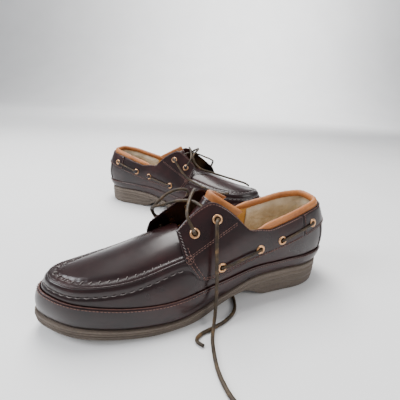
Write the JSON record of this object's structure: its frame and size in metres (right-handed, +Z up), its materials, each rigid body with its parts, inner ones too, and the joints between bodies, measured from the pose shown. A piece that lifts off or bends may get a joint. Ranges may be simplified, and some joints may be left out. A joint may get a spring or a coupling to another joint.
{
  "type": "deck shoe pair",
  "caption": "Low-cut lace-up moccasin deck shoes with a lace threaded round the collar, a stitched apron, folding tongue and a ribbed non-slip sole.",
  "frame": {"origin": "on the floor under the middle of the two standing shoes, measured without the loose lace ends", "axes": "+X to the viewer's right with the left shoe's outer side facing the viewer, +Y away from the viewer, +Z up"},
  "size_m": [0.3428, 0.4294, 0.117],
  "materials": {
    "upper": "polished dark burgundy-brown leather",
    "binding": "soft tan leather, satin",
    "lining": "matte mustard-tan lining leather",
    "footbed": "matte tan sock leather",
    "outsole": "matte taupe rubber",
    "midsole": "matte taupe rubber",
    "eyelet": "polished antique brass",
    "lace": "waxed dark olive-brown rawhide"
  },
  "bodies": {
    "left_shoe": {"left_outsole": "outsole", "left_midsole": "midsole", "left_footbed": "footbed", "left_lining": "lining", "left_vamp": "upper", "left_mudguard": "upper", "left_apron": "upper", "left_collar": "binding", "left_outer_quarter": "upper", "left_outer_side_eyelet_1": "eyelet", "left_outer_side_eyelet_2": "eyelet", "left_outer_side_eyelet_3": "eyelet", "left_outer_side_eyelet_4": "eyelet", "left_outer_flap_eyelet_1": "eyelet", "left_outer_flap_eyelet_2": "eyelet", "left_outer_side_lace_rear": "lace", "left_outer_side_lace_front": "lace", "left_outer_lace_end": "lace", "left_inner_quarter": "upper", "left_inner_side_eyelet_1": "eyelet", "left_inner_side_eyelet_2": "eyelet", "left_inner_side_eyelet_3": "eyelet", "left_inner_side_eyelet_4": "eyelet", "left_inner_flap_eyelet_1": "eyelet", "left_inner_flap_eyelet_2": "eyelet", "left_inner_side_lace_rear": "lace", "left_inner_side_lace_front": "lace", "left_inner_lace_end": "lace", "left_heel_band": "upper"},
    "left_tongue": {"left_tongue": "upper"},
    "right_shoe": {"right_outsole": "outsole", "right_midsole": "midsole", "right_footbed": "footbed", "right_lining": "lining", "right_vamp": "upper", "right_mudguard": "upper", "right_apron": "upper", "right_collar": "binding", "right_outer_quarter": "upper", "right_outer_side_eyelet_1": "eyelet", "right_outer_side_eyelet_2": "eyelet", "right_outer_side_eyelet_3": "eyelet", "right_outer_side_eyelet_4": "eyelet", "right_outer_flap_eyelet_1": "eyelet", "right_outer_flap_eyelet_2": "eyelet", "right_outer_side_lace_rear": "lace", "right_outer_side_lace_front": "lace", "right_outer_lace_end": "lace", "right_inner_quarter": "upper", "right_inner_side_eyelet_1": "eyelet", "right_inner_side_eyelet_2": "eyelet", "right_inner_side_eyelet_3": "eyelet", "right_inner_side_eyelet_4": "eyelet", "right_inner_flap_eyelet_1": "eyelet", "right_inner_flap_eyelet_2": "eyelet", "right_inner_side_lace_rear": "lace", "right_inner_side_lace_front": "lace", "right_inner_lace_end": "lace", "right_heel_band": "upper"},
    "right_tongue": {"right_tongue": "upper"}
  },
  "joints": [
    {"name": "right_shoe_lift", "type": "slide", "parent": "left_shoe", "child": "right_shoe", "axis": [0, 0, 1], "range_m": [0, 0.25]},
    {"name": "left_tongue_fold", "type": "hinge", "parent": "left_shoe", "child": "left_tongue", "pos_m": [0.00026, -0.11748, 0.075], "axis": [0.3827, -0.9239, 0], "range_deg": [-8, 4]},
    {"name": "right_tongue_fold", "type": "hinge", "parent": "right_shoe", "child": "right_tongue", "pos_m": [0.0045, 0.11152, 0.075], "axis": [0.2907, 0.9568, 0], "range_deg": [-8, 4]}
  ]
}
